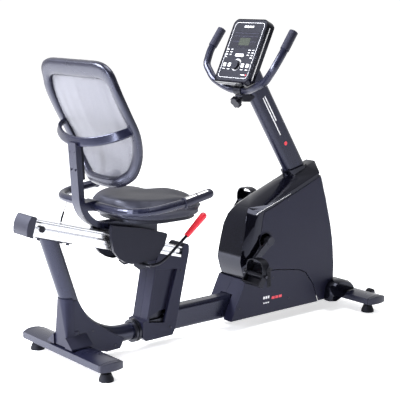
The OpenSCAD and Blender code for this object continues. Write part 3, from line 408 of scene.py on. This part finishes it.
def bake(o):
    """Applies the modifiers of an object."""
    dg = bpy.context.evaluated_depsgraph_get()
    done = bpy.data.meshes.new_from_object(o.evaluated_get(dg))
    o.modifiers.clear()
    old = o.data
    o.data = done
    bpy.data.meshes.remove(old)


CLOTH_FRAMES = 20
SWELL = 0.004  # the most that the cloth's pressure may move a point, in metres
EASE_STEPS = 14


def seat_cushion():
    """Foam pad: swelled by cloth pressure, then widened at its top, with two thigh hollows
    and a slight hollow behind the raised nose."""
    src = nodes["seat_pad"]
    o = bpy.data.objects.new("seat_cushion", src.data.copy())
    bpy.context.scene.collection.objects.link(o)
    drop_custom_normals(o.data)
    lo, hi = (Vector(c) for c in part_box("seat_pad"))
    for v in o.data.vertices:
        v.co.x += 0.003 if v.co.x < (lo.x + hi.x) / 2 else -0.003
        v.co.z = min(v.co.z, hi.z - 0.004)
    bpy.context.view_layer.objects.active = o
    r = o.modifiers.new("remesh", "REMESH")
    r.mode = "VOXEL"
    r.voxel_size = 0.0055
    bake(o)
    start = np.array([v.co[:] for v in o.data.vertices])
    c = o.modifiers.new("cloth", "CLOTH")
    c.settings.use_pressure = True
    c.settings.uniform_pressure_force = 4.0
    c.settings.effector_weights.gravity = 0.0
    c.settings.quality = 5
    for f in range(1, CLOTH_FRAMES + 1):
        bpy.context.scene.frame_set(f)
    bake(o)
    bpy.context.scene.frame_set(1)
    now = np.array([v.co[:] for v in o.data.vertices])
    step = now - start
    size = np.linalg.norm(step, axis=1, keepdims=True)
    cap = SWELL * np.clip((start[:, 2:] - lo.z) / 0.02, 0, 1)
    start = start + step * np.minimum(1, cap / np.maximum(size, 1e-9))
    rise = np.clip((start[:, 2] - lo.z - 0.026) / 0.016, 0, 1)
    middle = (lo.x + hi.x) / 2
    start[:, 0] += 0.07 * rise * (start[:, 0] - middle)
    start[:, 1] *= 1 + 0.17 * rise
    x, y, z = start[:, 0], start[:, 1], start[:, 2]
    top = np.clip((z - (lo.z + 0.012)) / 0.04, 0, 1)
    thigh = np.exp(-(((x + 0.165) / 0.075) ** 2 + ((np.abs(y) - 0.115) / 0.05) ** 2))
    nose = np.exp(-(((x + 0.125) / 0.05) ** 2 + (y / 0.06) ** 2))
    seat = np.exp(-(((x + 0.30) / 0.07) ** 2 + (y / 0.07) ** 2))
    start[:, 2] += top * (-0.018 * thigh + 0.004 * nose - 0.004 * seat)
    low = z < lo.z + 0.003
    start[low, 2] = lo.z + 0.0005
    for v, p in zip(o.data.vertices, start):
        v.co = p
    ease = o.modifiers.new("ease", "SMOOTH")
    ease.factor = 0.5
    ease.iterations = EASE_STEPS
    bake(o)
    shade_smooth(o.data)
    o.data.materials.clear()
    o.data.materials.append(SEAT_TOP)
    o.data.materials.append(SEAT_SIDE)
    for p in o.data.polygons:
        side = abs(p.normal.z) < 0.5
        p.material_index = 1 if side or p.normal.z < -0.3 else 0
    s = o.modifiers.new("smooth", "SUBSURF")
    s.levels = s.render_levels = 1
    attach(o, "carriage")
    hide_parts("seat_pad")


seat_cushion()

# ---------------------------------------------------------------- backrest

# Left halves of the frame's band and of the mesh's outline, from the top middle down.
BACK_RING = [(-603, 0, 1113), (-603, 90, 1113), (-602, 160, 1111), (-597, 198, 1096),
             (-586, 216, 1064), (-571, 226, 1020), (-537, 229, 951), (-499, 225, 879),
             (-473, 201, 801), (-466, 160, 734), (-475, 116, 702), (-482, 70, 689), (-486, 0, 686)]
MESH_HALF = [(-600, 0, 1106), (-600, 150, 1105), (-594, 182, 1094), (-580, 198, 1060),
             (-560, 208, 1000), (-524, 210, 922), (-490, 203, 858), (-467, 172, 775),
             (-466, 122, 722), (-478, 60, 706)]
BACK_BRACE = [(-508, 224, 898), (-554, 196, 878), (-586, 130, 858), (-604, 60, 848),
              (-608, 0, 846)]
MESH_TOP, MESH_LOW = 1118, 700
MESH_HOLLOW = 10


def ring_section(p):
    """The band is widest along the top of the frame."""
    top = min(1, max(0, (p.z - 1055) / 55))
    return oval(28 + 6 * top, 44 + 22 * top * top * (3 - 2 * top), 2.8, 24)


def across_middle(u, v, h):
    """Point of a side view, carried h to the rider's left."""
    return Vector((u, h, v))


def back_ring():
    """Moulded frame of the backrest, a rounded band about the mesh, with its brace and plate."""
    loop = BACK_RING + [(x, -y, z) for x, y, z in BACK_RING[-2:0:-1]]
    path = smooth_path(loop, per=6, closed=True)
    o = sweep("back_ring", path, ring_section, (0.93, 0, 0.36), RING, "carriage",
              closed=True)
    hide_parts("back_frame")
    brace = smooth_path(BACK_BRACE + [(x, -y, z) for x, y, z in BACK_BRACE[-2::-1]], per=6)
    o = sweep("back_brace", brace, oval(13, 35, 5.0, 24), (1, 0, 0), PAINT, "carriage")
    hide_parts("back_frame")
    side = [(-592, 702), (-581, 702), (-590, 860), (-602, 860)]
    o = plate("back_plate", side, across_middle, -21, 21, BLACK, "carriage", 1.5)
    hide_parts("back_frame")


back_ring()


def back_cloth():
    """Stretched mesh, one curved sheet across the frame, a little hollow at its middle."""
    rows, cols = 60, 40
    edge = sorted(smooth_path(MESH_HALF, per=8), key=lambda p: p.z)
    heights = [p.z for p in edge]
    verts = []
    for i in range(rows):
        z = MESH_TOP - (MESH_TOP - MESH_LOW) * i / (rows - 1)
        x = float(np.interp(z, heights, [p.x for p in edge]))
        half = max(40, float(np.interp(z, heights, [p.y for p in edge])))
        for k in range(cols):
            s = -1 + 2 * k / (cols - 1)
            verts.append((x - MESH_HOLLOW * (1 - s * s), half * s, z))
    faces = [(i * cols + k, i * cols + k + 1, (i + 1) * cols + k + 1, (i + 1) * cols + k)
             for i in range(rows - 1) for k in range(cols - 1)]
    o = piece("back_cloth", verts, faces, WEAVE, "carriage")
    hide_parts("back_mesh")


back_cloth()

# ---------------------------------------------------------------- console face

LEAN = math.radians(25.2)
UP = Vector((math.sin(LEAN), 0, math.cos(LEAN)))
OUT = Vector((-math.cos(LEAN), 0, math.sin(LEAN)))
# The node reaches 4.5 mm below the face's origin and 1.4 mm behind its front.
FACE_LOW = Vector(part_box("console_face")[0]) / MM
FACE = Vector((FACE_LOW.x + 4.5 * UP.x, 0, FACE_LOW.z + 4.5 * UP.z + 1.4 * OUT.z))


def on_face(u, v, h=0.0):
    """Point of the console's face: u to the rider's right, v up the face, h out of it."""
    return FACE + Vector((0, -u, 0)) + UP * v + OUT * h


MARK_LOW, MARK_HIGH = 0.05, 0.4  # a printed mark's underside and top over its surface
DIAL_V = 64  # middle of the dial, up the face


def face_mark(name, outline, mat, height=0.5, hole=None, low=MARK_LOW):
    """A thin mark on the console's face."""
    return plate(name, outline, on_face, low, height, mat, "base", hole=hole)


def bar(u0, v0, u1, v1):
    """Outline of a plain rectangle."""
    return [(u0, v0), (u1, v0), (u1, v1), (u0, v1)]


def console_details():
    """Display window, outline and generic marks on the console's face, and its side trims."""
    ring = rounded_outline(-89, 8, 89, 250, 16, 8)
    inner = rounded_outline(-87.7, 9.3, 87.7, 248.7, 14.7, 8)
    face_mark("face_outline", ring, MARK, hole=inner)
    face_mark("display_window", rounded_outline(-76, 140, 76, 210, 6), GLASS, height=0.6)
    face_mark("display_panel", rounded_outline(-30, 150, 34, 182, 2), LCD, low=0.6, height=0.8)
    for row, v in enumerate((129, 118, 107, 96)):
        for col, u in enumerate((-80, -56, 50, 73)):
            if row < 3 or col in (0, 3):
                w = 13 - 3 * ((row + col) % 2)
                face_mark(f"face_label_{row}_{col}", bar(u - w / 2, v, u + w / 2, v + 3), MARK)
    for v in (166, 190, 203):
        face_mark(f"display_line_{v}", bar(-72, v, 72, v + 0.6), DISPLAY_LINE, low=0.6, height=0.7)
    for i, u0 in enumerate((-28, -14, 2, 16)):
        face_mark(f"face_stripe_{i}", bar(u0, 228, u0 + 11, 236), MARK)
    face_mark("face_banner", rounded_outline(-25, 101, 25, 113, 4), MARK)
    turns = [math.radians(a) for a in range(30, 151, 8)]
    arc = [(27 * math.cos(a), DIAL_V + 27 * math.sin(a)) for a in turns]
    arc += [(25 * math.cos(a), DIAL_V + 25 * math.sin(a)) for a in reversed(turns)]
    face_mark("dial_arc", arc, MARK)
    face_mark("dial_ring", circle(0, DIAL_V, 25.5), DIAL_RING, height=0.9,
              hole=circle(0, DIAL_V, 21))
    for i, u in enumerate((-70, -40, 40, 70)):
        face_mark(f"key_mark_{i}", bar(u - 8, 44, u + 8, 46.5), MARK)
    face_mark("corner_bar", bar(46, 22, 72, 25), MARK)
    face_mark("corner_dot", circle(78, 23.5, 3, 16), RED)
    for s in (-1, 1):
        path = [on_face(s * 104.4, v, -17) for v in (6, 120, 236)]
        sweep(f"side_trim_{s + 1}", path, oval(1.4, 5, 3.0, 12), (0, 1, 0), SILVER, "base")


console_details()

# ---------------------------------------------------------------- drive cover details

PANEL_Y = -88.0  # flat side of the right cover
COVER_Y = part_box("lower_covers")[0][1] / MM
CRANK_X, CRANK_Z = 262, 366
CRANK_RING = 34  # radius


def on_cover(u, v, h=0.0):
    """Point of the lower cover's flat side: u along X, v up, h out to the rider's right."""
    return Vector((u, COVER_Y - h, v))


def panel_details():
    """Beaded trim line, crank ring and generic marks on the right cover."""
    edge = [(205, 481), (256, 500), (400, 547)]
    trim = smooth_path([(x, PANEL_Y - 0.4, z) for x, z in edge], per=10)
    sweep("beaded_trim", trim, oval(2.4, 2.4, n=10), (0, 1, 0), SILVER, "base")
    for name, u0, u1, v, mat, slot in [("white", 252, 290, 113, MARK, "cap_plastic"),
                                       ("red", 300, 362, 106, RED, "red_grip"),
                                       ("small", 252, 288, 93, MARK, "cap_plastic")]:
        rise = 5 if name == "small" else 11
        for k in range(3):
            w = (u1 - u0) / 3
            u = u0 + k * w
            block = [(u, v), (u + w - 4, v - 1), (u + w - 2, v + rise - 1), (u + 2, v + rise)]
            plate(f"cover_mark_{name}_{k}", block, on_cover, MARK_LOW, MARK_HIGH, mat, "base")
    crank = smooth_path([(CRANK_X + CRANK_RING * math.cos(a), PANEL_Y - 0.6,
                          CRANK_Z + CRANK_RING * math.sin(a))
                         for a in [math.radians(30 * k) for k in range(12)]], per=4, closed=True)
    sweep("crank_ring", crank, oval(3, 3, n=10), (0, 1, 0), COVER_DARK, "base",
          closed=True)


panel_details()

# ---------------------------------------------------------------- mast marks

MAST_LEAN = math.radians(32.2)
MAST_X, MAST_Z = 379, 834
MAST_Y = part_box("mast")[0][1] / MM


def on_mast(d, along, h=0.0):
    """Point of the mast's right side: d across it, along its length, h out."""
    c, s = math.cos(MAST_LEAN), math.sin(MAST_LEAN)
    return Vector((MAST_X + d * c - along * s, MAST_Y - h, MAST_Z + d * s + along * c))


def mast_marks():
    """Two plain stripes and a red dot. They spell and depict nothing."""
    for d, low, high in [(-7, -45, 145), (5, 20, 145)]:
        stripe = [(d - 2.5, low), (d + 2.5, low), (d + 2.5, high), (d - 2.5, high)]
        plate(f"mast_stripe_{d + 7}", stripe, on_mast, MARK_LOW, MARK_HIGH, MARK, "base")
    plate("mast_dot", circle(-1, -95, 9), on_mast, MARK_LOW, MARK_HIGH, RED, "base")


mast_marks()

# ---------------------------------------------------------------- pedal strap's tail


def strap_tail():
    """Ladder tail that hangs from the outer end of the right pedal's strap."""
    lo, hi = (Vector(c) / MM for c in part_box("pedal_right"))
    x, y, z = (lo.x + hi.x) / 2 + 14, lo.y - 1.2, (lo.z + hi.z) / 2 - 6
    hang = [(x, y, z + 26), (x + 1, y - 0.6, z), (x + 3, y, z - 26), (x + 6, y + 3, z - 50)]
    path = smooth_path(hang, per=6)
    sweep("strap_tail", path, oval(22, 2.2, 6.0, 16), (1, 0, 0), RUBBER, "right_pedal")
    for k in range(4, len(path) - 2, 2):
        p = path[k]
        rung = [p + Vector((-8, -1.4, 0)), p + Vector((8, -1.4, 0))]
        sweep(f"strap_rung_{k}", rung, oval(2.4, 2.4, n=8), (0, 0, 1), RUBBER, "right_pedal")


strap_tail()

# ---------------------------------------------------------------- floor and light


def area_light(name, at, target, size, power, color=(1, 1, 1)):
    """A rectangular lamp that faces its target, power in watts."""
    d = bpy.data.lights.new(name, "AREA")
    d.shape = "RECTANGLE"
    d.size, d.size_y = size
    d.energy = power
    d.color = color
    o = bpy.data.objects.new(name, d)
    bpy.context.scene.collection.objects.link(o)
    o.location = at
    o.rotation_mode = "QUATERNION"
    o.rotation_quaternion = (Vector(target) - Vector(at)).to_track_quat("-Z", "Y")


# The surroundings stand still and brighten along one direction, so that the background is white.
world = bpy.data.worlds.new("studio")
world.use_nodes = True
sky = world.node_tree
sky.nodes["Background"].inputs["Color"].default_value = (1, 1, 1, 1)
toward = sky.nodes.new("ShaderNodeTexCoord")
dot = sky.nodes.new("ShaderNodeVectorMath")
dot.operation = "DOT_PRODUCT"
dot.inputs[1].default_value = look
sky.links.new(toward.outputs["Generated"], dot.inputs[0])
shade = sky.nodes.new("ShaderNodeMapRange")
shade.inputs["From Min"].default_value = -0.3
shade.inputs["From Max"].default_value = 0.5
shade.inputs["To Min"].default_value = 0.10
shade.inputs["To Max"].default_value = 1.05
sky.links.new(dot.outputs["Value"], shade.inputs["Value"])
sky.links.new(shade.outputs["Result"], sky.nodes["Background"].inputs["Strength"])
bpy.context.scene.world = world

FLOOR_HALF = 45.0
floor_mesh = bpy.data.meshes.new("floor")
floor_mesh.from_pydata([(x * FLOOR_HALF, y * FLOOR_HALF, 0)
                        for x, y in ((-1, -1), (1, -1), (1, 1), (-1, 1))], [], [(0, 1, 2, 3)])
floor = bpy.data.objects.new("floor", floor_mesh)
bpy.context.scene.collection.objects.link(floor)
white_floor = material("pale_floor", (0.95, 0.95, 0.96), rough=0.9, tint=0.01, spec=0.1)
floor_sockets = white_floor.node_tree.nodes["Principled BSDF"].inputs
floor_sockets["Emission Color"].default_value = (1, 1, 1, 1)
floor_sockets["Emission Strength"].default_value = 0.62
floor.data.materials.append(white_floor)

area_light("key", (-3.4, 1.8, 3.2), (-0.2, 0, 0.6), (2.0, 2.0), 560, (0.93, 0.95, 1))
area_light("side", (-4.4, -0.6, 1.5), (-0.4, 0, 0.7), (0.7, 2.6), 170, (0.9, 0.93, 1))
area_light("top", (0.2, -0.6, 4.0), (0, 0, 0.5), (2.2, 2.2), 110)
